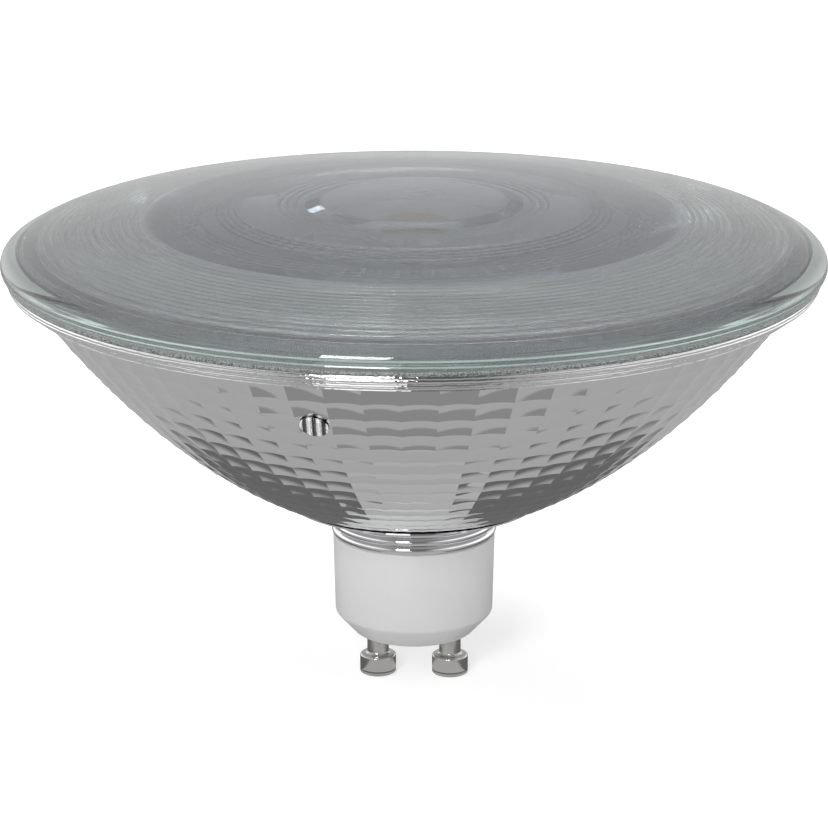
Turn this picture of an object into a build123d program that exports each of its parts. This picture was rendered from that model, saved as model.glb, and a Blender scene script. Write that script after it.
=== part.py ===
from build123d import *
from math import cos, hypot, pi, sin, sqrt
import os

# Sealed reflector spotlight lamp, 111 mm wide, with a two-pin twist-lock base.
# Millimetres. The origin is on the lamp's axis in the plane of the pin tips, +Z runs
# to the front glass and the two pins stand along X. Radii are measured from the axis.

# Contact pins
pin_spacing = 10.0
pin_head_radius = 2.5
pin_head_height = 2.8
pin_head_bevel = 0.2
pin_shank_radius = 1.5
pin_tail = 1.4
pin_clearance = 0.05

# Base cup, which tapers a little from its mouth to its chamfered foot
base_height = 14.2
base_foot_radius = 8.1
base_shoulder_radius = 10.85
base_mouth_radius = 11.15
base_chamfer_height = 3.0
base_foot_height = 3.7
base_wall = 1.8
base_floor = 2.0

# Neck of the glass bowl: a spigot in the base and three rounded rings above it
spigot_length = 6.0
spigot_gap = 0.4
spigot_wall = 1.5
cement_clearance = 0.02
neck_height = 5.1
neck_radius = 11.0
neck_ring_bulge = 0.35
neck_ring_count = 3
neck_ring_height = 1.15
neck_seat = 0.05
neck_bore_radius = 9.4

# Faceted bowl, between its lowest and highest row of facets
facet_columns = 66
facet_rows = 16
facet_growth = 0.036
bowl_height = 29.7
bowl_low_radius = 17.2
bowl_bulge = 0.045
bowl_wall = 2.4
neck_lip = 0.2

# Rim: stepped flange of the bowl, adhesive ring and front glass
glass_radius = 55.5
flange_setback = 0.9
flange_width = 3.1
flange_height = 2.4
flange_steps = 3
flange_bore_inset = 4.7
seal_thickness = 0.5
seal_bulge = 0.25
bead_height = 3.2
bead_equator = 1.25
bead_setback = 1.5
shoulder_width = 4.8
shoulder_height = 1.6
dome_rise = 5.0
glass_thickness = 2.6
glass_land = 3.9

# Lens plate under the glass
plate_gap = 0.3
plate_foot_width = 1.4
plate_edge_height = 2.2
plate_thickness = 2.0
rib_count = 14
rib_depth = 0.32
lip_radius = 36.3
lip_height = 4.4
lip_width = 0.7
outer_valley_radius = 27.0
outer_valley_depth = 3.3
outer_ring_radius = 23.0
outer_ring_width = 3.4
outer_ring_rise = 0.2
inner_valley_radius = 15.4
inner_valley_depth = 1.7
disc_radius = 12.4
disc_rise = 2.2
riser_draft = 1.1
plate_underside = 1.0

# Vent plug, in the third column of facets left of the front, third row from the rim
vent_column = 2
vent_row = 2
vent_bore_radius = 1.4
vent_head_radius = 1.85
vent_head_height = 0.4
vent_clearance = 0.05

# Driver, in a sleeve that stands on the base's floor
sleeve_clearance = 0.15
sleeve_wall = 0.5
sleeve_height = 17.8
board_thickness = 1.0
board_side_gap = 0.35
board_lift = 4.4
driver_board_height = 17.0
part_gap = 0.05
capacitor_wall_gap = 0.55
capacitor_height = 8.0
film_width = 7.0
film_height = 5.0
film_depth = 3.4
choke_wall_gap = 1.25
choke_height = 5.0
rectifier_width = 4.6
rectifier_height = 3.8
rectifier_depth = 2.3
chip_width = 4.9
chip_height = 3.9
chip_depth = 1.5
fuse_radius = 1.1
fuse_length = 6.4
row_gap = 1.2
lead_radius = 0.4
lead_inset = 0.9

# Heat sink and light source
sink_gap = 0.3
sink_low = 4.9
sink_height = 8.9
sink_wall = 2.0
sink_plate = 2.5
pad_radius = 9.0
pad_thickness = 0.3
led_board_radius = 15.0
led_board_thickness = 1.6
package_width = 12.0
package_thickness = 1.0
phosphor_radius = 4.6
phosphor_thickness = 0.3
lead_hole_radius = 0.9
lead_hole_place = 10.0
lead_end_height = 0.8
lead_end_reach = 1.6
holder_bore_radius = 11.2
holder_height = 2.5
holder_chamfer = 1.0
screw_shank_radius = 1.0
screw_head_radius = 1.7
screw_head_height = 1.2
screw_clearance = 0.05

# Heights and radii that follow from the sizes above
base_bottom = pin_head_height + base_foot_height
base_top = base_bottom + base_height
base_inside = base_bottom + base_floor
base_bore_radius = base_mouth_radius - base_wall
spigot_radius = base_bore_radius - spigot_gap
bore_radius = spigot_radius - spigot_wall
spigot_bottom = base_top - spigot_length
bowl_low = base_top + neck_height
bowl_top = bowl_low + bowl_height
flange_radius = glass_radius - flange_setback
bowl_top_radius = flange_radius - flange_width
flange_top = bowl_top + flange_height
glass_bottom = flange_top + seal_thickness
bead_top = glass_bottom + bead_height
dome_edge_radius = glass_radius - shoulder_width
dome_edge = bead_top + shoulder_height
dome_top = dome_edge + dome_rise
dome_sphere_radius = (dome_edge_radius ** 2 + dome_rise ** 2) / (2 * dome_rise)
glass_bore_radius = glass_radius - glass_land
plate_radius = glass_bore_radius - plate_gap
sleeve_radius = bore_radius - sleeve_clearance
sleeve_inside = sleeve_radius - sleeve_wall
board_to_sleeve = sleeve_inside - board_thickness / 2 - part_gap
capacitor_radius = (board_to_sleeve - capacitor_wall_gap) / 2
choke_radius = (board_to_sleeve - choke_wall_gap) / 2
sink_bottom = base_top + sink_low
sink_top = sink_bottom + sink_height
pad_top = sink_top + pad_thickness
led_board_top = pad_top + led_board_thickness
holder_top = led_board_top + holder_height
facet_angle = 2 * pi / facet_columns


def turned(*points):
    """Solid turned about Z from an outline of (radius, height) points."""
    return revolve(Plane.XZ * make_face(Polyline(*points, close=True)), Axis.Z)


def cylinder(radius, low, high, x=0.0, y=0.0):
    """Upright cylinder between two heights."""
    return Pos(x, y, (low + high) / 2) * Cylinder(radius, high - low)


def block(width, depth, low, high, y):
    """Upright block centred on X, with its middle at y."""
    return Pos(0, y, (low + high) / 2) * Box(width, depth, high - low)


def bowl_radius(height):
    """Outer radius of the bowl: a parabola with a slight bulge."""
    rise = (height - bowl_low) / bowl_height
    share = rise + bowl_bulge * rise * (1 - rise)
    return sqrt(bowl_low_radius ** 2 + (bowl_top_radius ** 2 - bowl_low_radius ** 2) * share)


def facet_heights():
    """Heights between the rows of facets, whose pitch grows evenly towards the rim."""
    samples = 400
    heights = [bowl_low + bowl_height * i / samples for i in range(samples + 1)]
    lengths = [0.0]
    for low, high in zip(heights, heights[1:]):
        lengths.append(lengths[-1] + hypot(high - low, bowl_radius(high) - bowl_radius(low)))
    pitches = [1 + facet_growth * row for row in range(facet_rows)]
    edges, reached, place = [bowl_low], 0.0, 0
    for pitch in pitches[:-1]:
        reached += lengths[-1] * pitch / sum(pitches)
        while lengths[place + 1] < reached:
            place += 1
        part = (reached - lengths[place]) / (lengths[place + 1] - lengths[place])
        edges.append(heights[place] + part * (heights[place + 1] - heights[place]))
    return edges + [bowl_top]


def facet_corner(column, height):
    """Corner of a facet. Column 0 starts at the front, -Y, and columns run towards +X."""
    angle = column * facet_angle - pi / 2
    radius = bowl_radius(height)
    return Vector(radius * cos(angle), radius * sin(angle), height)


def wall_inside(height):
    """Point of the bowl's inner wall that lies one wall thickness in from a height outside."""
    step = 0.01
    slope = (bowl_radius(height + step) - bowl_radius(height)) / step
    size = hypot(1, slope)
    return (bowl_radius(height) - bowl_wall / size, height + bowl_wall * slope / size)


def inner_wall_points():
    """Inner wall from the neck up to the flange."""
    samples = 9
    low_part = bowl_low + bowl_height / 60
    points = [wall_inside(low_part + (bowl_top - low_part) * i / samples) for i in range(samples)]
    return [point for point in points if point[1] < bowl_top - bowl_wall / 2]


def bowl_inside(height):
    """Inner radius of the bowl at a height."""
    points = [(neck_bore_radius, bowl_low - bowl_wall / 2)] + inner_wall_points()
    for (low_radius, low), (high_radius, high) in zip(points, points[1:]):
        if height <= high:
            return low_radius + (high_radius - low_radius) * (height - low) / (high - low)
    return points[-1][0]


def faceted_body():
    """Solid inside the facets, closed by a flat polygon at each end."""
    heights = facet_heights()
    faces = []
    for low, high in zip(heights, heights[1:]):
        for column in range(facet_columns):
            corners = [
                facet_corner(column, low),
                facet_corner(column + 1, low),
                facet_corner(column + 1, high),
                facet_corner(column, high),
            ]
            faces.append(Face(Wire.make_polygon(corners, close=True)))
    for height in (bowl_low, bowl_top):
        ring = [facet_corner(column, height) for column in range(facet_columns)]
        faces.append(Face(Wire.make_polygon(ring, close=True)))
    return Solid(Shell(faces))


def bowl_neck():
    """Spigot, rounded rings and the underside that runs out to the lowest facets."""
    seat = base_top + neck_seat
    flare_radius = bowl_low_radius + neck_lip
    outline = [
        Polyline((0, spigot_bottom), (spigot_radius, spigot_bottom), (spigot_radius, seat)),
        Line((spigot_radius, seat), (neck_radius, seat)),
    ]
    for ring in range(neck_ring_count):
        low, high = seat + ring * neck_ring_height, seat + (ring + 1) * neck_ring_height
        bulge = (neck_radius + neck_ring_bulge, (low + high) / 2)
        outline.append(ThreePointArc((neck_radius, low), bulge, (neck_radius, high)))
    rings_top = seat + neck_ring_count * neck_ring_height
    outline += [
        Spline(
            (neck_radius, rings_top),
            (flare_radius, bowl_low - neck_lip),
            tangents=[(0.25, 1), (1, 0.1)],
        ),
        Polyline((flare_radius, bowl_low - neck_lip), (flare_radius, bowl_low), (0, bowl_low)),
        Line((0, bowl_low), (0, spigot_bottom)),
    ]
    return revolve(Plane.XZ * make_face(outline), Axis.Z)


def bowl_flange():
    """Solid rim with small steps on its underside."""
    step_out = (flange_width - seal_bulge) / flange_steps
    step_up = flange_height / (flange_steps + 0.5)
    points = [(0, bowl_top - neck_lip), (bowl_top_radius + seal_bulge, bowl_top - neck_lip)]
    for step in range(flange_steps):
        radius = bowl_top_radius + seal_bulge + step * step_out
        height = bowl_top + step * step_up
        points.append((radius + step_out * 0.8, height))
        points.append((radius + step_out, height + step_up * 0.6))
    points += [(flange_radius, flange_top), (0, flange_top)]
    return turned(*points)


def bowl_hollow():
    """Space inside the bowl, from the open spigot to the flange's bore."""
    wall = inner_wall_points()
    bore = flange_radius - flange_bore_inset
    straight = [
        (bore, bowl_top),
        (bore, flange_top + seal_thickness),
        (0, flange_top + seal_thickness),
        (0, spigot_bottom - seal_thickness),
        (bore_radius, spigot_bottom - seal_thickness),
        (bore_radius, base_top),
        (neck_bore_radius, base_top + spigot_wall),
        (neck_bore_radius, bowl_low - bowl_wall / 2),
        wall[0],
    ]
    return turned(*straight, *wall[1:])


def vent_place():
    """Plane on the facet that carries the vent, with its normal outwards."""
    heights = facet_heights()
    high, low = heights[-1 - vent_row], heights[-2 - vent_row]
    corners = [
        facet_corner(-vent_column - 1, low),
        facet_corner(-vent_column, low),
        facet_corner(-vent_column, high),
        facet_corner(-vent_column - 1, high),
    ]
    centre = sum(corners, Vector(0, 0, 0)) / len(corners)
    across = corners[1] - corners[0]
    return Plane(origin=centre, x_dir=across, z_dir=across.cross(corners[2] - corners[1]))


def reflector_bowl():
    bowl = faceted_body() + bowl_neck() + bowl_flange() - bowl_hollow()
    return bowl - vent_place() * Cylinder(vent_bore_radius, 4 * bowl_wall)


def vent_plug():
    """Headed plug in the bowl's hole, flush with the wall inside."""
    shank = Pos(0, 0, -bowl_wall / 2) * Cylinder(vent_bore_radius - vent_clearance, bowl_wall)
    head = Pos(0, 0, vent_head_height / 2) * Cylinder(vent_head_radius, vent_head_height)
    rim = head.edges().sort_by(Axis.Z)[-1]
    return vent_place() * (shank + fillet(rim, vent_head_height / 2))


def rim_seal():
    """Adhesive ring, which stands a little proud of the flange."""
    middle = (flange_top + glass_bottom) / 2
    low, high = (flange_radius, flange_top), (flange_radius, glass_bottom)
    inner = glass_bore_radius + plate_gap
    outline = [
        Polyline(high, (inner, glass_bottom), (inner, flange_top), low),
        ThreePointArc(low, (flange_radius + seal_bulge, middle), high),
    ]
    return revolve(Plane.XZ * make_face(outline), Axis.Z)


def dome_height(radius, depth=0.0):
    """Height of the glass dome at a radius, or of a sphere that lies deeper by depth."""
    sphere = dome_sphere_radius - depth
    return dome_top - depth - sphere + sqrt(sphere ** 2 - radius ** 2)


def front_glass():
    """Rounded bead, sloping shoulder and low dome, hollow underneath."""
    foot = (flange_radius, glass_bottom)
    equator = (glass_radius, glass_bottom + bead_equator)
    crease = (glass_radius - bead_setback, bead_top)
    edge = (dome_edge_radius, dome_edge)
    shoulder = ((crease[0] + edge[0]) / 2, (crease[1] + edge[1]) / 2 + shoulder_height / 10)
    outer_mid = (dome_edge_radius / 2, dome_height(dome_edge_radius / 2))
    inner_mid = (glass_bore_radius / 2, dome_height(glass_bore_radius / 2, glass_thickness))
    inner_edge = (glass_bore_radius, dome_height(glass_bore_radius, glass_thickness))
    inner_top = (0, dome_top - glass_thickness)
    outline = [
        TangentArc(equator, foot, tangent=(0, -1)),
        TangentArc(equator, crease, tangent=(0, 1)),
        ThreePointArc(crease, shoulder, edge),
        ThreePointArc(edge, outer_mid, (0, dome_top)),
        Line((0, dome_top), inner_top),
        ThreePointArc(inner_top, inner_mid, inner_edge),
        Polyline(inner_edge, (glass_bore_radius, glass_bottom), foot),
    ]
    return revolve(Plane.XZ * make_face(outline), Axis.Z)


def rib_points():
    """Zigzag of the ribs, from the plate's edge in to the lip of the stepped rings."""
    start = plate_radius - plate_foot_width
    edge, lip = flange_top + plate_edge_height, flange_top + lip_height
    pitch = (start - lip_radius) / rib_count
    points = []
    for rib in range(rib_count):
        for share, drop in ((0.0, rib_depth), (0.4, 0.0)):
            along = (rib + share) * pitch
            height = edge + (lip - edge) * along / (start - lip_radius)
            points.append((start - along, height - drop))
    return points


def lens_plate():
    """Ribbed plate with two stepped rings and a centre disc; its foot stands on the flange."""
    lip = flange_top + lip_height
    edge = flange_top + plate_edge_height
    low = flange_top - plate_underside
    outer_ring = lip + outer_ring_rise
    outer_ring_inside = outer_ring_radius - outer_ring_width
    disc = outer_ring + disc_rise
    points = [
        (0, low),
        (lip_radius, low),
        (plate_radius - plate_foot_width, flange_top + lip_height - plate_edge_height - plate_thickness),
        (plate_radius - plate_foot_width, flange_top),
        (plate_radius, flange_top),
        (plate_radius, edge),
        *rib_points(),
        (lip_radius, lip),
        (lip_radius - lip_width, lip),
        (outer_valley_radius + riser_draft, lip - outer_valley_depth),
        (outer_valley_radius - riser_draft, lip - outer_valley_depth),
        (outer_ring_radius, outer_ring),
        (outer_ring_inside, outer_ring - outer_ring_rise),
        (inner_valley_radius, outer_ring - inner_valley_depth),
        (inner_valley_radius - riser_draft, outer_ring - inner_valley_depth),
        (disc_radius, disc),
        (0, disc),
    ]
    return turned(*points)


def base_cup():
    """Cup with a chamfered foot, a floor and two holes for the pins."""
    shoulder = base_bottom + base_chamfer_height
    cup = turned(
        (0, base_bottom),
        (base_foot_radius, base_bottom),
        (base_shoulder_radius, shoulder),
        (base_mouth_radius, base_top),
        (base_bore_radius, base_top),
        (base_bore_radius, shoulder + base_wall / 2),
        (base_foot_radius - pin_head_bevel, base_inside),
        (0, base_inside),
    )
    for side in (-1, 1):
        hole = pin_shank_radius + pin_clearance
        cup -= cylinder(hole, base_bottom - 1, base_inside + 1, side * pin_spacing / 2)
    return cup


def contact_pin(side):
    """Headed pin through the base's floor, with its bevelled head at the origin's height."""
    shank = cylinder(pin_shank_radius, pin_head_height / 2, base_inside + pin_tail)
    head = chamfer(cylinder(pin_head_radius, 0, pin_head_height).edges(), pin_head_bevel)
    return Pos(side * pin_spacing / 2, 0, 0) * (head + shank)


def base_cement():
    """Ring of cement between the bowl's spigot and the base."""
    inner, outer = spigot_radius + cement_clearance, base_bore_radius - cement_clearance
    return turned(
        (inner, spigot_bottom), (outer, spigot_bottom), (outer, base_top), (inner, base_top)
    )


def driver_sleeve():
    """Insulating tube that stands on the base's floor and reaches the heat sink."""
    high = base_inside + sleeve_height
    tube = cylinder(sleeve_radius, base_inside, high)
    return tube - cylinder(sleeve_inside, base_inside - 1, high + 1)


board_bottom = base_inside + board_lift
board_top = board_bottom + driver_board_height
board_half = sleeve_inside - board_side_gap
front_face = -board_thickness / 2
back_face = board_thickness / 2


def driver_board():
    return block(2 * board_half, board_thickness, board_bottom, board_top, 0)


def bulk_capacitor():
    """Can on the front of the board, above the fuse resistor."""
    low = board_bottom + 2 * fuse_radius + row_gap
    y = front_face - part_gap - capacitor_radius
    can = cylinder(capacitor_radius, low, low + capacitor_height, 0, y)
    return fillet(can.edges(), capacitor_radius / 8)


def driver_chip():
    low = board_bottom + 2 * fuse_radius + capacitor_height + 2 * row_gap
    y = front_face - chip_depth / 2
    return block(chip_width, chip_depth, low, low + chip_height, y)


def fuse_resistor():
    """Small round body that lies across the front of the board."""
    body = Rot(0, 90, 0) * Cylinder(fuse_radius, fuse_length)
    y = front_face - part_gap - fuse_radius
    return Pos(0, y, board_bottom + fuse_radius) * fillet(body.edges(), fuse_radius / 3)


def film_capacitor():
    y = back_face + film_depth / 2
    return block(film_width, film_depth, board_bottom, board_bottom + film_height, y)


def choke():
    """Wound drum on the back of the board, with a waist between its flanges."""
    low = board_bottom + film_height + row_gap
    high = low + choke_height
    y = back_face + part_gap + choke_radius
    flange, waist = choke_height / 7, choke_radius * 0.85
    drum = turned(
        (0, low), (choke_radius, low), (choke_radius, low + flange), (waist, low + flange),
        (waist, high - flange), (choke_radius, high - flange), (choke_radius, high), (0, high),
    )
    return Pos(0, y, 0) * drum


def bridge_rectifier():
    low = board_bottom + film_height + choke_height + 2 * row_gap
    y = back_face + rectifier_depth / 2
    return block(rectifier_width, rectifier_depth, low, low + rectifier_height, y)


def wire(*points):
    """Round lead along straight runs with rounded bends."""
    path = FilletPolyline(*points, radius=2 * lead_radius)
    return sweep(Plane(path @ 0, z_dir=path % 0) * Circle(lead_radius), path)


def supply_lead(side):
    """From the top of a pin up to the front face of the driver board."""
    x = side * pin_spacing / 2
    start = base_inside + pin_tail
    y = front_face - part_gap - lead_radius
    bend = (board_bottom - start) / 3
    return wire(
        (x, 0, start),
        (x, 0, start + bend),
        (x, y, start + bend + 2 * lead_radius),
        (x, y, board_bottom + 2 * row_gap + 2 * lead_radius),
    )


def led_lead(side):
    """From the driver board up through the heat sink and over the light source's board."""
    x = side * (board_half - lead_inset)
    out = side * lead_hole_place
    y = front_face - part_gap - lead_radius
    under_plate = sink_top - sink_plate - row_gap / 2
    return wire(
        (x, y, board_top - 3 * row_gap),
        (x, y, board_top + lead_radius),
        (out, 0, under_plate),
        (out, 0, led_board_top + lead_end_height),
        (out - side * lead_end_reach, 0, led_board_top + lead_end_height),
    )


def lead_holes(low, high):
    """Two round cutters where the light source's leads pass."""
    return [cylinder(lead_hole_radius, low, high, side * lead_hole_place) for side in (-1, 1)]


def screw_cutters(low, high):
    place = (holder_bore_radius + led_board_radius) / 2
    radius = screw_shank_radius + screw_clearance
    return [cylinder(radius, low, high, 0, side * place) for side in (-1, 1)]


def heat_sink():
    """Turned funnel that follows the bowl's inner wall, closed by the plate for the light."""
    heights = [sink_bottom + sink_height * share for share in (0, 0.35, 0.65, 1)]
    outside = [(bowl_inside(height) - sink_gap, height) for height in heights]
    under_plate = sink_top - sink_plate
    hollow = [(radius - sink_wall, height) for radius, height in outside[1:-1]]
    sink = turned(
        (bore_radius, sink_bottom),
        *outside,
        (0, sink_top),
        (0, under_plate),
        (bowl_inside(under_plate) - sink_gap - sink_wall, under_plate),
        *reversed(hollow),
        (bore_radius, sink_bottom + sink_wall / 2),
    )
    for cutter in lead_holes(under_plate - 1, sink_top + 1) + screw_cutters(under_plate - 1, sink_top + 1):
        sink -= cutter
    return sink


def thermal_pad():
    return cylinder(pad_radius, sink_top, pad_top)


def led_board():
    board = cylinder(led_board_radius, pad_top, led_board_top)
    for cutter in lead_holes(pad_top - 1, led_board_top + 1) + screw_cutters(pad_top - 1, led_board_top + 1):
        board -= cutter
    return board


def led_package():
    top = led_board_top + package_thickness
    return block(package_width, package_width, led_board_top, top, 0)


def phosphor_disc():
    low = led_board_top + package_thickness
    return cylinder(phosphor_radius, low, low + phosphor_thickness)


def led_holder():
    """Ring that clamps the light source's board, with a sloping inner edge."""
    ring = turned(
        (holder_bore_radius, led_board_top),
        (led_board_radius, led_board_top),
        (led_board_radius, holder_top),
        (holder_bore_radius + holder_chamfer, holder_top),
        (holder_bore_radius, holder_top - holder_chamfer),
    )
    for cutter in screw_cutters(led_board_top - 1, holder_top + 1):
        ring -= cutter
    return ring


def holder_screws():
    """Two alike screws through holder and board into the heat sink's plate."""
    place = (holder_bore_radius + led_board_radius) / 2
    low, high = sink_top - sink_plate, holder_top + screw_head_height
    screws = []
    for side in (-1, 1):
        shank = cylinder(screw_shank_radius, low, holder_top, 0, side * place)
        head = cylinder(screw_head_radius, holder_top, high, 0, side * place)
        slot = Pos(0, side * place, high) * Box(
            3 * screw_head_radius, screw_head_radius / 4, screw_head_height
        )
        screws.append(shank + (head - slot))
    return Compound(children=screws)


os.makedirs("parts", exist_ok=True)

parts = {
    "front_glass": front_glass(),
    "lens_plate": lens_plate(),
    "rim_seal": rim_seal(),
    "reflector_bowl": reflector_bowl(),
    "vent_plug": vent_plug(),
    "base_cup": base_cup(),
    "contact_pin_left": contact_pin(-1),
    "contact_pin_right": contact_pin(1),
    "base_cement": base_cement(),
    "driver_sleeve": driver_sleeve(),
    "driver_board": driver_board(),
    "bulk_capacitor": bulk_capacitor(),
    "film_capacitor": film_capacitor(),
    "choke": choke(),
    "bridge_rectifier": bridge_rectifier(),
    "driver_chip": driver_chip(),
    "fuse_resistor": fuse_resistor(),
    "supply_lead_left": supply_lead(-1),
    "supply_lead_right": supply_lead(1),
    "led_lead_plus": led_lead(-1),
    "led_lead_minus": led_lead(1),
    "heat_sink": heat_sink(),
    "thermal_pad": thermal_pad(),
    "led_board": led_board(),
    "led_package": led_package(),
    "phosphor_disc": phosphor_disc(),
    "led_holder": led_holder(),
    "holder_screws": holder_screws(),
}

for node, shape in parts.items():
    export_step(shape, f"parts/{node}.step")
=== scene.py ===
import math

import bpy
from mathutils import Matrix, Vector


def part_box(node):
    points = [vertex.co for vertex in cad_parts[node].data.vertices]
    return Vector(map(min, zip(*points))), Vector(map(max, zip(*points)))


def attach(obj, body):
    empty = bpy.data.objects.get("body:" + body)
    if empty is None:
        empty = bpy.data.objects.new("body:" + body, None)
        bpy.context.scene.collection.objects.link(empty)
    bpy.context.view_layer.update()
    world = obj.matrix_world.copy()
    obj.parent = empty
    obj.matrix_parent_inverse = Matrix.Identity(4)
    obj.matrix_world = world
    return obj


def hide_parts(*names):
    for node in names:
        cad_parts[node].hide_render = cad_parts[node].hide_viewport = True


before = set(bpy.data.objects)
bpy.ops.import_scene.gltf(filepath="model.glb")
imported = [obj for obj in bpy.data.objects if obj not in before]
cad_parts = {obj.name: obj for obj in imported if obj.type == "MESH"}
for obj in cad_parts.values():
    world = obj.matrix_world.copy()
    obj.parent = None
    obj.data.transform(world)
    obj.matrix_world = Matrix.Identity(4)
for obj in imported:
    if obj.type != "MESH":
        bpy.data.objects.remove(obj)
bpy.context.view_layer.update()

mm = 0.001

# Base cup
# The white moulded plastic cup at the foot of the lamp, which tapers from its mouth to a
# chamfered foot. Cement holds the bowl's spigot in it, and the two pins come out under it.

cup_low, cup_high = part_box("base_cup")
cup_mouth_radius = cup_high.x
cup_shoulder_radius = 10.85 * mm
cup_foot_radius = 8.1 * mm
cup_chamfer_height = 3.0 * mm
cup_wall = 1.8 * mm
cup_floor = 2.0 * mm
cup_edge_round = 0.35 * mm
cup_steps = 160
merge_distance = 0.0005 * mm


def turn(name, outline, steps):
    """Extrudes one corner along a section of (radius, height) points and spins it round Z."""
    bpy.ops.object.select_all(action="DESELECT")
    bpy.ops.mesh.primitive_plane_add(size=mm)
    piece = bpy.context.object
    piece.name = piece.data.name = name
    bpy.ops.object.mode_set(mode="EDIT")
    bpy.ops.mesh.select_mode(type="VERT")
    bpy.ops.mesh.select_all(action="SELECT")
    bpy.ops.mesh.merge(type="CENTER")
    place = Vector((0, 0, 0))
    for number, (radius, height) in enumerate(outline):
        move = Vector((radius, 0, height)) - place
        place += move
        if number == 0:
            bpy.ops.transform.translate(value=move)
        else:
            bpy.ops.mesh.extrude_region_move(TRANSFORM_OT_translate={"value": move})
    bpy.ops.mesh.select_all(action="SELECT")
    bpy.ops.mesh.spin(steps=steps, angle=2 * math.pi, center=(0, 0, 0), axis=(0, 0, 1))
    bpy.ops.mesh.select_all(action="SELECT")
    bpy.ops.mesh.remove_doubles(threshold=merge_distance)
    bpy.ops.mesh.normals_make_consistent(inside=False)
    bpy.ops.object.mode_set(mode="OBJECT")
    return piece


def round_edges(piece, width):
    """Bevels the sharp edges of a piece."""
    edges = piece.modifiers.new("rounded_edges", "BEVEL")
    edges.width = width
    edges.segments = 3
    edges.limit_method = "ANGLE"
    edges.angle_limit = math.radians(25)
    bpy.context.view_layer.objects.active = piece
    bpy.ops.object.modifier_apply(modifier=edges.name)


def smooth(piece, degrees):
    """Shades a piece smooth up to an angle between its faces."""
    bpy.ops.object.select_all(action="DESELECT")
    piece.select_set(True)
    bpy.context.view_layer.objects.active = piece
    bpy.ops.object.shade_smooth_by_angle(angle=math.radians(degrees))


def put_on(piece, node, material):
    """Gives a finished piece its material and lets it stand for a node of the lamp."""
    piece.data.materials.clear()
    piece.data.materials.append(material)
    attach(piece, "root")
    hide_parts(node)


def grain_group():
    """Fine noise on the piece, as a height, and a slow cloud, as a mask."""
    group = bpy.data.node_groups.new("fine_grain", "ShaderNodeTree")
    face = group.interface
    face.new_socket("Size", in_out="INPUT", socket_type="NodeSocketFloat").default_value = 900
    face.new_socket("Cloud", in_out="INPUT", socket_type="NodeSocketFloat").default_value = 60
    face.new_socket("Mask", in_out="OUTPUT", socket_type="NodeSocketFloat")
    face.new_socket("Height", in_out="OUTPUT", socket_type="NodeSocketFloat")
    nodes, links = group.nodes, group.links
    enter = nodes.new("NodeGroupInput")
    leave = nodes.new("NodeGroupOutput")
    where = nodes.new("ShaderNodeTexCoord")
    fine = nodes.new("ShaderNodeTexNoise")
    fine.inputs["Detail"].default_value = 3
    cloud = nodes.new("ShaderNodeTexNoise")
    cloud.inputs["Detail"].default_value = 4
    links.new(where.outputs["Object"], fine.inputs["Vector"])
    links.new(where.outputs["Object"], cloud.inputs["Vector"])
    links.new(enter.outputs["Size"], fine.inputs["Scale"])
    links.new(enter.outputs["Cloud"], cloud.inputs["Scale"])
    links.new(fine.outputs["Fac"], leave.inputs["Height"])
    links.new(cloud.outputs["Fac"], leave.inputs["Mask"])
    return group


fine_grain = grain_group()


def grained(name, dark, light, rough, size=900, depth=0.01 * mm, cloud=60, **sockets):
    """Material whose colour and roughness wander between two values over the piece."""
    material = bpy.data.materials.new(name)
    material.use_nodes = True
    nodes, links = material.node_tree.nodes, material.node_tree.links
    shader = nodes["Principled BSDF"]
    grain = nodes.new("ShaderNodeGroup")
    grain.node_tree = fine_grain
    grain.inputs["Size"].default_value = size
    grain.inputs["Cloud"].default_value = cloud
    colour = nodes.new("ShaderNodeMix")
    colour.data_type = "RGBA"
    colour.inputs["A"].default_value = (*dark, 1)
    colour.inputs["B"].default_value = (*light, 1)
    links.new(grain.outputs["Mask"], colour.inputs["Factor"])
    links.new(colour.outputs["Result"], shader.inputs["Base Color"])
    spread = nodes.new("ShaderNodeMapRange")
    spread.inputs["To Min"].default_value = rough[0]
    spread.inputs["To Max"].default_value = rough[1]
    links.new(grain.outputs["Mask"], spread.inputs["Value"])
    links.new(spread.outputs["Result"], shader.inputs["Roughness"])
    bump = nodes.new("ShaderNodeBump")
    bump.inputs["Distance"].default_value = depth
    links.new(grain.outputs["Height"], bump.inputs["Height"])
    links.new(bump.outputs["Normal"], shader.inputs["Normal"])
    for socket, value in sockets.items():
        shader.inputs[socket.replace("_", " ")].default_value = value
    return material


cup_bore_radius = cup_mouth_radius - cup_wall
cup_shoulder = cup_low.z + cup_chamfer_height
base_cup = turn("base_cup_shell", [
    (0, cup_low.z),
    (cup_foot_radius, cup_low.z),
    (cup_shoulder_radius, cup_shoulder),
    (cup_mouth_radius, cup_high.z),
    (cup_bore_radius, cup_high.z),
    (cup_bore_radius, cup_shoulder + cup_wall / 2),
    (cup_foot_radius - cup_edge_round, cup_low.z + cup_floor),
    (0, cup_low.z + cup_floor),
], cup_steps)
round_edges(base_cup, cup_edge_round)
smooth(base_cup, 40)
white_plastic = grained(
    "satin_white_plastic", (0.60, 0.605, 0.60), (0.66, 0.665, 0.66), (0.42, 0.5), 2600, 0.02 * mm
)
put_on(base_cup, "base_cup", white_plastic)

# Contact pins
# Two turned brass pins with a satin nickel finish. Each is riveted through the cup's floor,
# and its wide head locks behind the keyhole slot of the holder.

pin_shank_radius = 1.5 * mm
pin_head_height = 2.8 * mm
pin_bevel = 0.2 * mm
pin_collar = 0.25 * mm
pin_steps = 72


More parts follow.
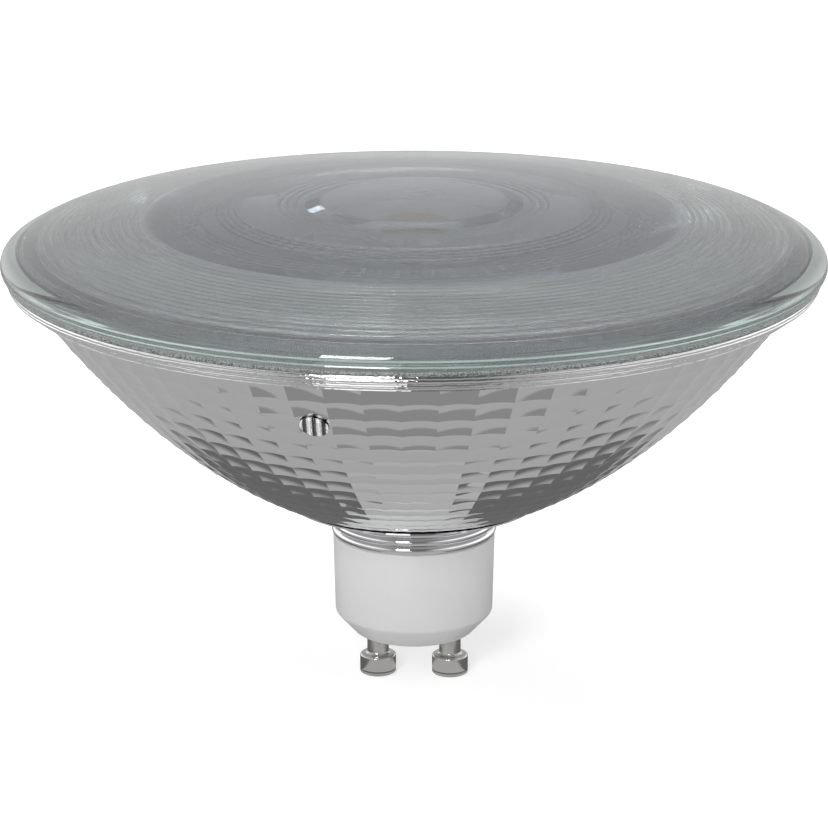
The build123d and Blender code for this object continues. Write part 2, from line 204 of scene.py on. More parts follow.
def contact_pin(node):
    """Pin with a bevelled head and a small root where its shank meets the head."""
    low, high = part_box(node)
    radius = (high.x - low.x) / 2
    pin = turn(node + "_turned", [
        (0, low.z),
        (radius - pin_bevel, low.z),
        (radius, low.z + pin_bevel),
        (radius, low.z + pin_head_height - pin_bevel),
        (radius - pin_bevel, low.z + pin_head_height),
        (pin_shank_radius + pin_collar, low.z + pin_head_height),
        (pin_shank_radius, low.z + pin_head_height + pin_collar),
        (pin_shank_radius, high.z),
        (0, high.z),
    ], pin_steps)
    round_edges(pin, pin_bevel / 4)
    smooth(pin, 40)
    bpy.ops.transform.translate(value=((low.x + high.x) / 2, 0, 0))
    bpy.ops.object.transform_apply(location=True, rotation=True, scale=True)
    return pin


satin_nickel = grained(
    "satin_nickel", (0.62, 0.61, 0.59), (0.70, 0.69, 0.67), (0.16, 0.26), 5200,
    cloud=240, Metallic=1.0,
)
for node in ("contact_pin_left", "contact_pin_right"):
    put_on(contact_pin(node), node, satin_nickel)

# Driver sleeve
# A thin tube of flame-resistant plastic that stands on the cup's floor. It keeps the driver
# clear of the glass spigot round it.


def dress(node, material):
    """Gives a node of the lamp that keeps its own shape a new finish."""
    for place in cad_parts[node].material_slots:
        place.material = material


dress("driver_sleeve", grained(
    "insulating_tube", (0.74, 0.74, 0.70), (0.80, 0.80, 0.77), (0.35, 0.5), 1200, 0.01 * mm
))

# Driver board
# Glass-fibre circuit board under a green solder mask, cut to slide down the sleeve. The pins'
# leads are soldered to its foot and all its parts to its two faces.

dress("driver_board", grained(
    "green_solder_mask", (0.02, 0.16, 0.06), (0.03, 0.22, 0.09), (0.25, 0.4), 1400, 0.02 * mm,
    Specular_IOR_Level=0.6,
))

# Bulk capacitor
# An aluminium can in a shrunk black sleeve, soldered upright to the board. It smooths the
# rectified mains.

dress("bulk_capacitor", grained(
    "shrunk_black_sleeve", (0.015, 0.015, 0.02), (0.03, 0.03, 0.035), (0.18, 0.3), 700, 0.008 * mm
))

# Film capacitor
# A rolled film block dipped in dark red resin, which leaves its faces slightly wavy. Its two
# wires are soldered to the board.

dress("film_capacitor", grained(
    "dipped_red_resin", (0.34, 0.05, 0.03), (0.42, 0.07, 0.05), (0.15, 0.3), 350, 0.05 * mm
))

# Choke
# A sintered ferrite drum, wound under a thin varnish. It is glued to the back face of the
# driver board.

dress("choke", grained(
    "sintered_ferrite", (0.05, 0.05, 0.055), (0.09, 0.085, 0.08), (0.5, 0.7), 1800, 0.03 * mm
))

# Rectifier and driver chip
# Two packages of black moulded epoxy, soldered to the board. The mould leaves a fine,
# sand-like texture on them.

chip_epoxy = grained(
    "moulded_epoxy", (0.018, 0.018, 0.018), (0.035, 0.035, 0.035), (0.45, 0.6), 3200, 0.02 * mm
)
for node in ("bridge_rectifier", "driver_chip"):
    dress(node, chip_epoxy)

# Fuse resistor
# A wire-wound resistor on a ceramic rod under a dull green lacquer. It lies on the board and
# is soldered at both ends.

dress("fuse_resistor", grained(
    "green_lacquer", (0.14, 0.24, 0.15), (0.19, 0.31, 0.2), (0.4, 0.6), 1500, 0.03 * mm
))

# Leads
# Four short wires in soft white silicone. Two run from the pins to the board's foot and two
# from its head up to the light source.

silicone_lead = grained(
    "white_silicone", (0.62, 0.62, 0.59), (0.70, 0.70, 0.67), (0.5, 0.65), 1100, 0.01 * mm
)
for node in ("supply_lead_left", "supply_lead_right", "led_lead_plus", "led_lead_minus"):
    dress(node, silicone_lead)

# Base cement
# Heat-proof cement, poured as a paste between the cup and the bowl's spigot. It sets grey
# and grainy and holds the glass in the cup.

dress("base_cement", grained(
    "grey_cement", (0.36, 0.35, 0.33), (0.52, 0.51, 0.48), (0.8, 0.95), 2200, 0.06 * mm, 900
))

# Reflector bowl
# Pressed glass, coated to a mirror and covered in rows of dished square facets. It has
# rounded rings at its neck and a stepped flange, and cement holds its spigot in the cup.

facet_columns = 66
facet_rows = 16
facet_growth = 0.036
bowl_facets_low = 25.8 * mm
bowl_facets_high = 55.5 * mm
bowl_low_radius = 17.2 * mm
bowl_top_radius = 51.5 * mm
bowl_bulge = 0.045
bowl_wall = 2.4 * mm
dish_radius = 12 * mm
dish_parts = 6
facet_shading_angle = 8
wall_samples = 400
inner_wall_parts = 16
neck_radius = 11.0
neck_seat = 20.75
neck_ring_bulge = 0.35
neck_ring_height = 1.15
neck_ring_count = 3
neck_ring_parts = 16
neck_ring_fullness = 0.7
spigot_radius = 8.95
spigot_bore_radius = 7.45
spigot_low = 14.7
throat_radius = 9.4
flange_radius = 54.6
flange_top = 57.9
flange_bore_radius = 49.9
slope_step = 0.01 * mm


def bowl_radius(height):
    """Radius of the bowl's outer wall: a parabola with a slight bulge."""
    rise = (height - bowl_facets_low) / (bowl_facets_high - bowl_facets_low)
    share = rise + bowl_bulge * rise * (1 - rise)
    return math.sqrt(bowl_low_radius ** 2 + (bowl_top_radius ** 2 - bowl_low_radius ** 2) * share)


def bowl_slope(height):
    """How fast the bowl's radius grows with height."""
    return (bowl_radius(height + slope_step) - bowl_radius(height)) / slope_step


def row_edges():
    """Heights between the facets' rows, whose pitch grows evenly towards the rim."""
    rise = bowl_facets_high - bowl_facets_low
    heights = [bowl_facets_low + rise * i / wall_samples for i in range(wall_samples + 1)]
    lengths = [0.0]
    for low, high in zip(heights, heights[1:]):
        lengths.append(lengths[-1] + math.hypot(high - low, bowl_radius(high) - bowl_radius(low)))
    pitches = [1 + facet_growth * row for row in range(facet_rows)]
    edges, reached, place = [heights[0]], 0.0, 0
    for pitch in pitches[:-1]:
        reached += lengths[-1] * pitch / sum(pitches)
        while lengths[place + 1] < reached:
            place += 1
        part = (reached - lengths[place]) / (lengths[place + 1] - lengths[place])
        edges.append(heights[place] + part * (heights[place + 1] - heights[place]))
    return edges + [heights[-1]]


def scaled(points):
    """Points in millimetres as points in metres."""
    return [(radius * mm, height * mm) for radius, height in points]


def sag(width, share):
    """Depth of a dish of the common radius, this wide, at a share of its width."""
    return width ** 2 / (8 * dish_radius) * (1 - (2 * share - 1) ** 2)


neck_rings = []
for ring in range(neck_ring_count):
    for part in range(neck_ring_parts):
        share = part / neck_ring_parts
        bulge = neck_ring_bulge * math.sin(math.pi * share) ** neck_ring_fullness
        neck_rings.append((neck_radius + bulge, neck_seat + (ring + share) * neck_ring_height))
bowl_neck = scaled([
    (spigot_bore_radius, spigot_low), (spigot_radius, spigot_low), (spigot_radius, neck_seat),
    *neck_rings, (neck_radius, 24.2), (11.35, 24.75), (12.1, 25.15), (13.4, 25.4),
    (15.2, 25.52), (17.4, 25.6), (17.4, 25.8),
])
bowl_flange = scaled([
    (51.75, 55.3), (52.5, 55.5), (52.7, 55.95), (53.45, 56.2), (53.65, 56.6), (54.4, 56.9),
    (flange_radius, 57.3), (flange_radius, flange_top), (flange_bore_radius, flange_top),
    (flange_bore_radius, 55.5),
])
bowl_throat = scaled([
    (throat_radius, 24.6), (throat_radius, 22.2), (spigot_bore_radius, 20.7),
    (spigot_bore_radius, spigot_low),
])
edges = row_edges()
outer_wall = [
    low + (high - low) * part / dish_parts
    for low, high in zip(edges, edges[1:]) for part in range(dish_parts)
] + [edges[-1]]
inner_wall = []
for part in range(inner_wall_parts - 1, 0, -1):
    height = bowl_facets_low + (bowl_facets_high - bowl_facets_low) * part / inner_wall_parts
    depth = bowl_wall / math.hypot(1, bowl_slope(height))
    inner_wall.append((bowl_radius(height) - depth, height + depth * bowl_slope(height)))
reflector = turn("reflector_faceted", [
    *bowl_neck,
    *((bowl_radius(height), height) for height in outer_wall),
    *bowl_flange,
    *inner_wall,
    *bowl_throat,
], facet_columns * dish_parts)
for vertex in reflector.data.vertices:
    radius, height = math.hypot(vertex.co.x, vertex.co.y), vertex.co.z
    if not bowl_facets_low < height < bowl_facets_high or radius < bowl_radius(height) - mm:
        continue
    row = max(number for number, edge in enumerate(edges) if edge <= height + slope_step / 10)
    along = (height - edges[row]) / (edges[row + 1] - edges[row])
    turned = (math.atan2(vertex.co.y, vertex.co.x) + math.pi / 2) / (2 * math.pi) * facet_columns
    across = turned - math.floor(turned + slope_step)
    slope = bowl_slope(height)
    inward = Vector((-vertex.co.x / radius, -vertex.co.y / radius, slope)) / math.hypot(1, slope)
    pitch = (edges[row + 1] - edges[row]) * math.hypot(1, slope)
    width = 2 * math.pi * radius / facet_columns
    vertex.co += inward * (sag(pitch, along) + sag(width, across))
smooth(reflector, facet_shading_angle)


def mirror_coat():
    """Bright coat, with fine rings in the flange where the mould was turned."""
    material = grained(
        "mirror_coat", (0.76, 0.76, 0.77), (0.80, 0.80, 0.81), (0.03, 0.06), 700, 0.004 * mm,
        cloud=90, Metallic=1.0,
    )
    nodes, links = material.node_tree.nodes, material.node_tree.links
    where = nodes.new("ShaderNodeTexCoord")
    split = nodes.new("ShaderNodeSeparateXYZ")
    links.new(where.outputs["Object"], split.inputs[0])
    flange = nodes.new("ShaderNodeMath")
    flange.operation = "GREATER_THAN"
    flange.inputs[1].default_value = bowl_facets_high - 0.1 * mm
    links.new(split.outputs["Z"], flange.inputs[0])
    rings = nodes.new("ShaderNodeTexWave")
    rings.bands_direction = "Z"
    rings.inputs["Scale"].default_value = 700
    rings.inputs["Distortion"].default_value = 1.5
    links.new(where.outputs["Object"], rings.inputs["Vector"])
    turned = nodes.new("ShaderNodeMath")
    turned.operation = "MULTIPLY"
    links.new(flange.outputs["Value"], turned.inputs[0])
    links.new(rings.outputs["Fac"], turned.inputs[1])
    ridges = nodes.new("ShaderNodeBump")
    ridges.inputs["Distance"].default_value = 0.08 * mm
    links.new(turned.outputs["Value"], ridges.inputs["Height"])
    links.new(ridges.outputs["Normal"], nodes["Bump"].inputs["Normal"])
    return material


put_on(reflector, "reflector_bowl", mirror_coat())

# Vent plug
# A drop of glass that is melted into the hole through which the lamp was flushed. Its head
# has moulded flutes, and glints are painted on it as light and dark stripes.


def fluted_glass_painted_glints():
    """Glass with moulded flutes, with light and dark stripes along them painted as glints."""
    material = grained(
        "fluted_glass_painted_glints", (0.03, 0.03, 0.03), (0.95, 0.96, 0.95), (0.02, 0.05), 900, 0.01 * mm,
        IOR=1.52, Transmission_Weight=0.25,
    )
    nodes, links = material.node_tree.nodes, material.node_tree.links
    where = nodes.new("ShaderNodeTexCoord")
    flutes = nodes.new("ShaderNodeTexWave")
    flutes.inputs["Scale"].default_value = 260
    links.new(where.outputs["Object"], flutes.inputs["Vector"])
    bump = nodes["Bump"]
    bump.inputs["Distance"].default_value = 0.5 * mm
    links.new(flutes.outputs["Fac"], bump.inputs["Height"])
    # Light and dark stripes along the flutes: painted glints in the glass's colour.
    stripes = nodes.new("ShaderNodeMapRange")
    stripes.inputs["From Min"].default_value = 0.3
    stripes.inputs["From Max"].default_value = 0.5
    links.new(flutes.outputs["Fac"], stripes.inputs["Value"])
    colour = next(node for node in nodes if node.bl_idname == "ShaderNodeMix")
    links.new(stripes.outputs["Result"], colour.inputs["Factor"])
    return material


dress("vent_plug", fluted_glass_painted_glints())

# Heat sink
# A turned aluminium cup pressed into the bowl's throat. The tool leaves its surface lightly
# uneven.

dress("heat_sink", grained(
    "turned_aluminium", (0.55, 0.55, 0.56), (0.66, 0.66, 0.67), (0.25, 0.4), 1600, 0.006 * mm,
    Metallic=1.0,
))

# Thermal pad
# A soft grey pad, cut from sheet. It fills the gap between the heat sink and the light
# source's board and is pressed between them.

dress("thermal_pad", grained(
    "soft_grey_pad", (0.20, 0.21, 0.22), (0.26, 0.27, 0.28), (0.7, 0.85), 1300, 0.02 * mm
))

# Led board
# An aluminium-cored disc under a white mask. The holder's screws press it down on the pad.
# It carries the light source.

dress("led_board", grained(
    "white_board_mask", (0.70, 0.70, 0.68), (0.76, 0.76, 0.74), (0.3, 0.45), 1300, 0.01 * mm
))

# Led package
# A fired ceramic square that carries the chips. It is soldered to the middle of the led
# board.

dress("led_package", grained(
    "fired_ceramic", (0.72, 0.70, 0.64), (0.80, 0.78, 0.72), (0.35, 0.5), 2200, 0.01 * mm
))

# Phosphor disc
# Yellow phosphor in clear silicone, cast over the chips on their package. Small grains show
# in it.

dress("phosphor_disc", grained(
    "cast_phosphor", (0.50, 0.42, 0.20), (0.58, 0.50, 0.26), (0.25, 0.4), 4200, 0.03 * mm, 500
))

# Led holder
# A white moulded ring with a conical bore that presses the package down and screens the
# screws from its light.

dress("led_holder", grained(
    "holder_white", (0.50, 0.50, 0.50), (0.56, 0.56, 0.56), (0.4, 0.5), 2400, 0.01 * mm
))

# Holder screws
# Two zinc-plated steel screws with pan heads. They go through the holder and the led board
# into the heat sink.

dress("holder_screws", grained(
    "zinc_plate", (0.50, 0.51, 0.53), (0.60, 0.61, 0.62), (0.2, 0.35), 2600, 0.01 * mm,
    cloud=300, Metallic=1.0,
))

# Lens plate
# One clear acrylic moulding, with fine rings outside, two steps and a plain disc in the
# middle. Small cushions on the steps spread the light. Its foot stands on the bowl's flange.

plate_radius = 51.3
plate_edge = 60.1
plate_foot = 57.9
plate_foot_bore = 49.9
plate_underside = 56.9
plate_steps_shading = 22
lip_radius = 36.3
lip = 62.3
lip_width = 0.7
rib_count = 14
rib_parts = 4
rib_depth = 0.32
cushion_columns = 84
cushion_parts = 6
cushion_height = 0.25
cushion_reach = 0.01
cushion_zones = [
    ((32.2, 60.35), (28.1, 59.0), 4),
    ((25.9, 59.0), (23.0, 62.5), 4),
    ((18.6, 61.95), (15.4, 60.8), 3),
]


def cushion(along, across):
    """Share of a cushion's full height at a place on it, each from 0 to 1."""
    return (1 - (2 * along - 1) ** 2) * (1 - (2 * across - 1) ** 2)


def between(start, end, parts):
    """Points from start up to, but without, end."""
    return [
        (start[0] + (end[0] - start[0]) * i / parts, start[1] + (end[1] - start[1]) * i / parts)
        for i in range(parts)
    ]


rib_pitch = (plate_foot_bore - lip_radius) / rib_count
ribs = []
for rib in range(rib_count):
    for part in range(rib_parts):
        share = part / rib_parts
        radius = plate_foot_bore - (rib + share) * rib_pitch
        climb = (plate_foot_bore - radius) / (plate_foot_bore - lip_radius)
        height = plate_edge + (lip - plate_edge) * climb
        ribs.append((radius, height - rib_depth * (1 - math.sin(math.pi * share))))
cushioned = []
for start, end, rows in cushion_zones:
    cushioned.append(between(start, end, rows * cushion_parts) + [end])
lens_plate = turn("lens_plate_moulded", scaled([
    (0, plate_underside), (lip_radius, plate_underside), (plate_foot_bore, 58.1),
    (plate_foot_bore, plate_foot), (plate_radius, plate_foot), (plate_radius, plate_edge),
    *ribs, (lip_radius, lip), (lip_radius - lip_width, lip),
    *cushioned[0], *cushioned[1], (22.6, 62.62), (19.6, 62.3), *cushioned[2], (14.3, 60.8),
    (12.6, 64.5), (12.2, 64.75), (6, 64.9), (0, 64.95),
]), cushion_columns * cushion_parts)
for vertex in lens_plate.data.vertices:
    radius, height = math.hypot(vertex.co.x, vertex.co.y), vertex.co.z
    for start, end, rows in cushion_zones:
        run = Vector((end[0] - start[0], end[1] - start[1]))
        gone = Vector((radius / mm - start[0], height / mm - start[1]))
        along = gone.dot(run) / run.length_squared
        if 0 < along < 1 and (gone - run * along).length < cushion_reach:
            turned = math.atan2(vertex.co.y, vertex.co.x) / (2 * math.pi) * cushion_columns
            across = turned - math.floor(turned + slope_step)
            lift = cushion_height * cushion((along * rows) % 1, across)
            out = Vector((run.y, -run.x)).normalized() * lift * mm
            if out.y < 0:
                out = -out
            vertex.co.x += out.x * vertex.co.x / radius
            vertex.co.y += out.x * vertex.co.y / radius
            vertex.co.z += out.y
smooth(lens_plate, plate_steps_shading)


def clear_moulding_painted_recess_shade():
    """Clear plastic with shade painted into its colour, darker inside its lip where the recess lies.
    """
    material = grained(
        "clear_moulding_painted_recess_shade", (0.58, 0.57, 0.63), (0.88, 0.88, 0.90), (0.0, 0.02), 900, 0.001 * mm,
        IOR=1.49, Transmission_Weight=0.87,
    )
    nodes, links = material.node_tree.nodes, material.node_tree.links
    where = nodes.new("ShaderNodeTexCoord")
    level = nodes.new("ShaderNodeVectorMath")
    level.operation = "MULTIPLY"
    level.inputs[1].default_value = (1, 1, 0)
    links.new(where.outputs["Object"], level.inputs[0])
    radius = nodes.new("ShaderNodeVectorMath")
    radius.operation = "LENGTH"
    links.new(level.outputs["Vector"], radius.inputs[0])
    outside = nodes.new("ShaderNodeMath")
    outside.operation = "GREATER_THAN"
    outside.inputs[1].default_value = (lip_radius - lip_width) * mm
    links.new(radius.outputs["Value"], outside.inputs[0])
    # The darker colour inside the lip is painted shade for the recess.
    colour = next(node for node in nodes if node.bl_idname == "ShaderNodeMix")
    links.new(outside.outputs["Value"], colour.inputs["Factor"])
    return material


put_on(lens_plate, "lens_plate", clear_moulding_painted_recess_shade())

# Rim seal
# A ring of adhesive between the bowl's flange and the front glass, squeezed out when the
# glass is pressed down. Small bubbles show as speckles at its outer edge.

speckled_radius = 53.6 * mm
bubble_scale = 4000


def bubbled_adhesive():
    """Dull adhesive that is speckled with bubbles outside a radius."""
    material = grained(
        "bubbled_adhesive", (0.04, 0.045, 0.04), (0.20, 0.22, 0.21), (0.3, 0.4), 900, 0.004 * mm
    )
    nodes, links = material.node_tree.nodes, material.node_tree.links
    where = nodes.new("ShaderNodeTexCoord")
    bubbles = nodes.new("ShaderNodeTexVoronoi")
    bubbles.inputs["Scale"].default_value = bubble_scale
    links.new(where.outputs["Object"], bubbles.inputs["Vector"])
    colour = next(node for node in nodes if node.bl_idname == "ShaderNodeMix")
    spots = nodes.new("ShaderNodeMapRange")
    spots.inputs["From Min"].default_value = 0.3
    spots.inputs["From Max"].default_value = 0.6
    links.new(bubbles.outputs["Distance"], spots.inputs["Value"])
    level = nodes.new("ShaderNodeVectorMath")
    level.operation = "MULTIPLY"
    level.inputs[1].default_value = (1, 1, 0)
    links.new(where.outputs["Object"], level.inputs[0])
    radius = nodes.new("ShaderNodeVectorMath")
    radius.operation = "LENGTH"
    links.new(level.outputs["Vector"], radius.inputs[0])
    covered = nodes.new("ShaderNodeMath")
    covered.operation = "LESS_THAN"
    covered.inputs[1].default_value = speckled_radius
    links.new(radius.outputs["Value"], covered.inputs[0])
    even = nodes.new("ShaderNodeMath")
    even.operation = "MAXIMUM"
    links.new(spots.outputs["Result"], even.inputs[0])
    links.new(covered.outputs["Value"], even.inputs[1])
    links.new(even.outputs["Value"], colour.inputs["Factor"])
    return material


dress("rim_seal", bubbled_adhesive())

# Front glass
# A low dome of clear pressed glass with a rounded bead at its rim, which gives it a green
# cast where it is thick. It is bonded to the bowl's flange and closes the lamp.

dome_top = 68.2
dome_edge_radius = 50.7
dome_rise = 5.0
glass_thickness = 2.6
glass_low = 58.4
glass_bore_radius = 51.6
glass_radius = 55.5
foot_radius = 54.6
crease_radius = 54.0
crease = 61.6
equator = 59.65
foot_parts = 6
bead_parts = 8
dome_parts = 16
glass_steps = 256
glass_shading_angle = 30
glass_depth_colour = (0.36, 0.6, 0.52, 1)
glass_depth_density = 9
dome_sphere = (dome_edge_radius ** 2 + dome_rise ** 2) / (2 * dome_rise)


def dome_height(radius, depth=0.0):
    """Height of the dome at a radius, or of the sphere that lies deeper by depth."""
    sphere = dome_sphere - depth
    return dome_top - depth - sphere + math.sqrt(sphere ** 2 - radius ** 2)


def bead_arc(radius, height, parts):
    """Arc from the equator, where it is upright, to a point of (radius, height)."""
    drop = glass_radius - radius
    size = (drop ** 2 + (height - equator) ** 2) / (2 * drop)
    end = math.atan2(height - equator, radius - (glass_radius - size))
    turns = [end * part / parts for part in range(parts + 1)]
    middle = glass_radius - size
    return [(middle + size * math.cos(turn), equator + size * math.sin(turn)) for turn in turns]


dome_outside = [dome_edge_radius * (1 - part / dome_parts) for part in range(dome_parts + 1)]
dome_inside = [glass_bore_radius * part / dome_parts for part in range(dome_parts + 1)]
front_glass = turn("front_glass_dome", scaled([
    *reversed(bead_arc(foot_radius, glass_low, foot_parts)),
    *bead_arc(crease_radius, crease, bead_parts)[1:],
    (53.2, 62.13), (52.4, 62.52), (51.6, 62.87),
    *((radius, dome_height(radius)) for radius in dome_outside),
    *((radius, dome_height(radius, glass_thickness)) for radius in dome_inside),
    (glass_bore_radius, glass_low),
]), glass_steps)
bpy.ops.object.mode_set(mode="EDIT")
bpy.ops.mesh.select_all(action="SELECT")
bpy.ops.mesh.delete_loose()
bpy.ops.object.mode_set(mode="OBJECT")


def pressed_glass():
    """Clear glass with a green cast in its depth, which lets the lamps light what it covers."""
    material = grained(
        "pressed_glass", (0.96, 0.985, 0.97), (0.985, 0.995, 0.99), (0.0, 0.02), 300, 0.002 * mm,
        cloud=40, IOR=1.52, Transmission_Weight=1.0,
    )
    nodes, links = material.node_tree.nodes, material.node_tree.links
    shader, finish = nodes["Principled BSDF"], nodes["Material Output"]
    clear = nodes.new("ShaderNodeBsdfTransparent")
    path = nodes.new("ShaderNodeLightPath")
    mix = nodes.new("ShaderNodeMixShader")
    links.new(path.outputs["Is Shadow Ray"], mix.inputs["Fac"])
    links.new(shader.outputs["BSDF"], mix.inputs[1])
    links.new(clear.outputs["BSDF"], mix.inputs[2])
    links.new(mix.outputs["Shader"], finish.inputs["Surface"])
    absorb = nodes.new("ShaderNodeVolumeAbsorption")
    absorb.inputs["Color"].default_value = glass_depth_colour
    absorb.inputs["Density"].default_value = glass_depth_density
    links.new(absorb.outputs["Volume"], finish.inputs["Volume"])
    return material


smooth(front_glass, glass_shading_angle)
put_on(front_glass, "front_glass", pressed_glass())

# Studio
# A plain pale floor under the pins, a soft lamp in front on the left and a wide one above.
# Cards that glow only for mirrors lie on the floor: a pale card stands for the floor, a dim one
# paints the lamp's shadow on it and a bright wedge paints highlights into the coat.

floor_size = 8
floor_glow = 0.45
room_back = 0.65
room_sides = 1.0
room_front = 0.2
room_above = 0.4
room_below = 0.8
backdrop_reach = 0.85
bulb_middle = Vector((0, 0, 0.04))
pale_card_size = 0.5
pale_card_place = (0, 0.165, 0.0002)
pale_glow = 0.46
painted_shadow_card_size = (0.058, 0.038, 1)
painted_shadow_card_place = (0, 0.018, 0.0005)
painted_shadow_glow = 0.15
front_card_size = (0.055, 0.012, 1)
front_card_place = (0, -0.052, 0.0006)
front_glow = 0.3
pin_card_radius = 0.013
pin_card_place = (0, -0.012, 0.0007)
pin_card_glow = 0.5
painted_highlight_card_place = (0, 0, 0.0008)
painted_highlight_card_near = 0.075
painted_highlight_card_far = 0.7
painted_highlight_card_angles = (1, 21)
painted_highlight_card_glow = 1.3

bpy.ops.object.select_all(action="DESELECT")
bpy.ops.mesh.primitive_plane_add(size=floor_size)
floor = bpy.context.object
floor.name = "floor"
floor_material = grained(
    "pale_floor", (0.78, 0.78, 0.78), (0.82, 0.82, 0.82), (0.85, 0.95), 40, cloud=3
)
nodes, links = floor_material.node_tree.nodes, floor_material.node_tree.links
path = nodes.new("ShaderNodeLightPath")
glow = nodes.new("ShaderNodeEmission")
gain = nodes.new("ShaderNodeMath")
gain.operation = "MULTIPLY"
gain.inputs[1].default_value = floor_glow
links.new(path.outputs["Is Camera Ray"], gain.inputs[0])
links.new(gain.outputs["Value"], glow.inputs["Strength"])
both = nodes.new("ShaderNodeAddShader")
links.new(nodes["Principled BSDF"].outputs["BSDF"], both.inputs[0])
links.new(glow.outputs["Emission"], both.inputs[1])
links.new(both.outputs["Shader"], nodes["Material Output"].inputs["Surface"])
floor.data.materials.append(floor_material)
floor.visible_glossy = False


def mirror_card(card, name, middle, edge):
    """Makes a card on the floor shine for mirrors alone, from one level to another at its edge."""
    card.name = name
    material = bpy.data.materials.new(name)
    material.use_nodes = True
    nodes, links = material.node_tree.nodes, material.node_tree.links
    where = nodes.new("ShaderNodeTexCoord")
    reach = nodes.new("ShaderNodeVectorMath")
    reach.operation = "LENGTH"
    links.new(where.outputs["Object"], reach.inputs[0])
    level = nodes.new("ShaderNodeMapRange")
    level.inputs["From Min"].default_value = 0.8
    level.inputs["To Min"].default_value = middle
    level.inputs["To Max"].default_value = edge
    links.new(reach.outputs["Value"], level.inputs["Value"])
    shine = nodes.new("ShaderNodeEmission")
    links.new(level.outputs["Result"], shine.inputs["Strength"])
    links.new(shine.outputs["Emission"], nodes["Material Output"].inputs["Surface"])
    card.data.materials.append(material)
    card.visible_camera = card.visible_diffuse = card.visible_shadow = False
    card.visible_transmission = False


bpy.ops.mesh.primitive_plane_add(size=pale_card_size, location=pale_card_place)
mirror_card(bpy.context.object, "pale_card", pale_glow, pale_glow)
# A dim card that paints the lamp's shadow on the floor into the coat's reflections.
bpy.ops.mesh.primitive_circle_add(vertices=96, radius=1, fill_type="NGON", location=painted_shadow_card_place)
bpy.context.object.scale = painted_shadow_card_size
mirror_card(bpy.context.object, "painted_shadow_card", painted_shadow_glow, pale_glow)
bpy.ops.mesh.primitive_circle_add(vertices=96, radius=1, fill_type="NGON", location=front_card_place)
bpy.context.object.scale = front_card_size
mirror_card(bpy.context.object, "front_card", front_glow, pale_glow)
bpy.ops.mesh.primitive_circle_add(
    vertices=48, radius=pin_card_radius, fill_type="NGON", location=pin_card_place
)
mirror_card(bpy.context.object, "pin_card", pin_card_glow, pin_card_glow)
# A bright wedge in front on the left that paints highlights into the neck, flange and rim.
bpy.ops.mesh.primitive_plane_add(location=painted_highlight_card_place)
painted_highlight_card = bpy.context.object
for corner in painted_highlight_card.data.vertices:
    reach = painted_highlight_card_near if corner.co.y > 0 else painted_highlight_card_far
    angle = math.radians(painted_highlight_card_angles[0] if corner.co.x > 0 else painted_highlight_card_angles[1])
    corner.co.x = -reach * math.sin(angle)
    corner.co.y = -reach * math.cos(angle)
mirror_card(painted_highlight_card, "painted_highlight_card", painted_highlight_card_glow, painted_highlight_card_glow)

studio = bpy.data.worlds.new("studio")
bpy.context.scene.world = studio
studio.use_nodes = True
nodes, links = studio.node_tree.nodes, studio.node_tree.links
back = nodes["Background"]
where = nodes.new("ShaderNodeTexCoord")
split = nodes.new("ShaderNodeSeparateXYZ")
links.new(where.outputs["Generated"], split.inputs[0])
room = nodes.new("ShaderNodeMapRange")
room.inputs["From Min"].default_value = -0.3
room.inputs["From Max"].default_value = 0.4
room.inputs["To Min"].default_value = room_front
room.inputs["To Max"].default_value = room_back
links.new(split.outputs["Y"], room.inputs["Value"])
above = nodes.new("ShaderNodeMapRange")
above.inputs["From Min"].default_value = 0.12
above.inputs["From Max"].default_value = 0.6
above.inputs["To Min"].default_value = 1
above.inputs["To Max"].default_value = room_above
links.new(split.outputs["Z"], above.inputs["Value"])
below = nodes.new("ShaderNodeMapRange")
below.inputs["From Min"].default_value = -0.15
below.inputs["From Max"].default_value = -0.1
below.inputs["To Min"].default_value = room_below
links.new(split.outputs["Z"], below.inputs["Value"])
height = nodes.new("ShaderNodeMath")
height.operation = "MULTIPLY"
links.new(above.outputs["Result"], height.inputs[0])
links.new(below.outputs["Result"], height.inputs[1])
aside = nodes.new("ShaderNodeMath")
aside.operation = "ABSOLUTE"
links.new(split.outputs["X"], aside.inputs[0])
sides = nodes.new("ShaderNodeMapRange")
sides.inputs["From Min"].default_value = 0.3
sides.inputs["From Max"].default_value = 0.8
sides.inputs["To Max"].default_value = room_sides
links.new(aside.outputs["Value"], sides.inputs["Value"])
walls = nodes.new("ShaderNodeMath")
walls.operation = "ADD"
links.new(room.outputs["Result"], walls.inputs[0])
links.new(sides.outputs["Result"], walls.inputs[1])
shade = nodes.new("ShaderNodeMath")
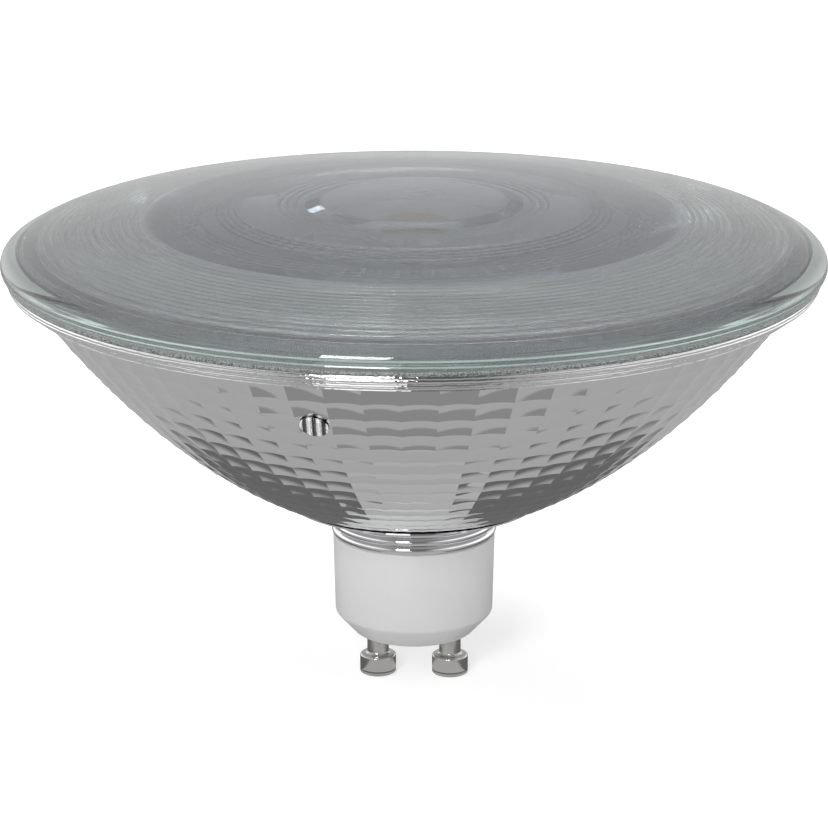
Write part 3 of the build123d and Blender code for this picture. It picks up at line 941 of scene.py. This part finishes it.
shade.operation = "MULTIPLY"
links.new(walls.outputs["Value"], shade.inputs[0])
links.new(height.outputs["Value"], shade.inputs[1])
path = nodes.new("ShaderNodeLightPath")
ahead = nodes.new("ShaderNodeMath")
ahead.operation = "GREATER_THAN"
ahead.inputs[1].default_value = backdrop_reach
links.new(split.outputs["Y"], ahead.inputs[0])
through = nodes.new("ShaderNodeMath")
through.operation = "MULTIPLY"
links.new(path.outputs["Is Transmission Ray"], through.inputs[0])
links.new(ahead.outputs["Value"], through.inputs[1])
seen = nodes.new("ShaderNodeMath")
seen.operation = "MAXIMUM"
links.new(path.outputs["Is Camera Ray"], seen.inputs[0])
links.new(through.outputs["Value"], seen.inputs[1])
strength = nodes.new("ShaderNodeMix")
strength.data_type = "FLOAT"
links.new(seen.outputs["Value"], strength.inputs["Factor"])
links.new(shade.outputs["Value"], strength.inputs["A"])
strength.inputs["B"].default_value = 1.0
links.new(strength.outputs["Result"], back.inputs["Strength"])
back.inputs["Color"].default_value = (1, 1, 1, 1)


def softbox(name, place, size, power):
    """Large soft lamp that faces the middle of the bulb."""
    bpy.ops.object.light_add(type="AREA", location=place)
    light = bpy.context.object
    light.name = name
    light.data.shape = "RECTANGLE"
    light.data.size, light.data.size_y = size
    light.data.energy = power
    aim = bulb_middle - Vector(place)
    light.rotation_euler = aim.to_track_quat("-Z", "Y").to_euler()
    return light


softbox("key_softbox", (-0.235, -0.94, 0.52), (0.32, 0.36), 6)
softbox("top_softbox", (0.1, 0.2, 1.2), (0.9, 0.9), 12).visible_glossy = False

camera_place = Vector((15.57, -474.2, 175.63)) * mm
camera_aim = Vector((0, 0, 37.36)) * mm
camera_lens = 157.4
camera_sensor = 36
bpy.ops.object.camera_add(location=camera_place)
camera = bpy.context.object
camera.data.lens = camera_lens
camera.data.sensor_width = camera_sensor
camera.rotation_euler = (camera_aim - camera_place).to_track_quat("-Z", "Y").to_euler()
bpy.context.scene.camera = camera
bpy.context.scene.view_settings.view_transform = "Standard"
